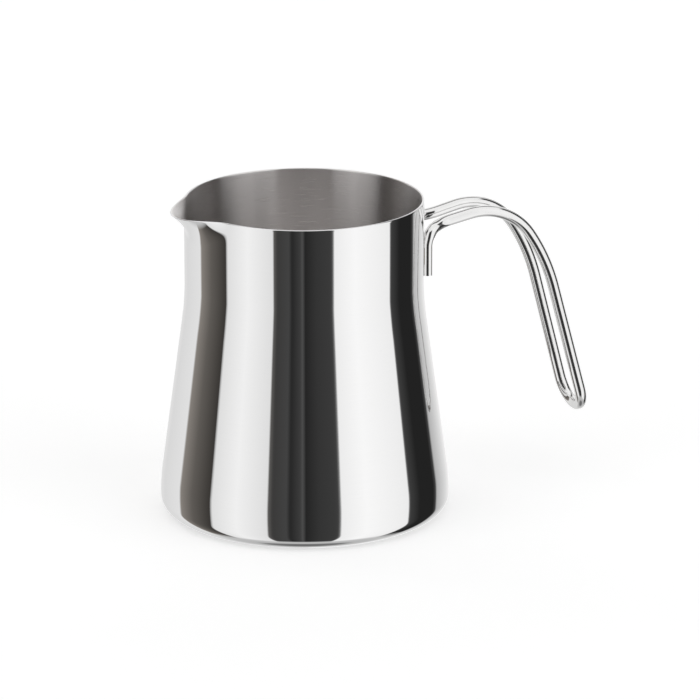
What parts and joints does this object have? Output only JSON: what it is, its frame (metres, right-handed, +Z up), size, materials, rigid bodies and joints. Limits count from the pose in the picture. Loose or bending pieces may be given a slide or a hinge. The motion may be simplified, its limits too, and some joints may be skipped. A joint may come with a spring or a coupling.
{
  "type": "milk frothing pitcher",
  "caption": "Stainless steel milk pitcher with a straight neck, flared body, pouring lip and a bent-wire loop handle, for steaming and pouring milk.",
  "frame": {"origin": "centre of the flat face that the pitcher stands on", "axes": "+Z up out of the mouth, +X from the vessel's axis along the handle, the pouring lip points along -X, and Y = 0 is the plane of symmetry"},
  "size_m": [0.1552, 0.1, 0.11],
  "materials": {
    "vessel_steel": "polished outside, satin inside",
    "wire_steel": "polished",
    "weld_metal": "as welded"
  },
  "bodies": {
    "root": {"vessel": "vessel_steel", "handle": "wire_steel", "front_weld": "weld_metal", "rear_weld": "weld_metal"}
  },
  "joints": []
}
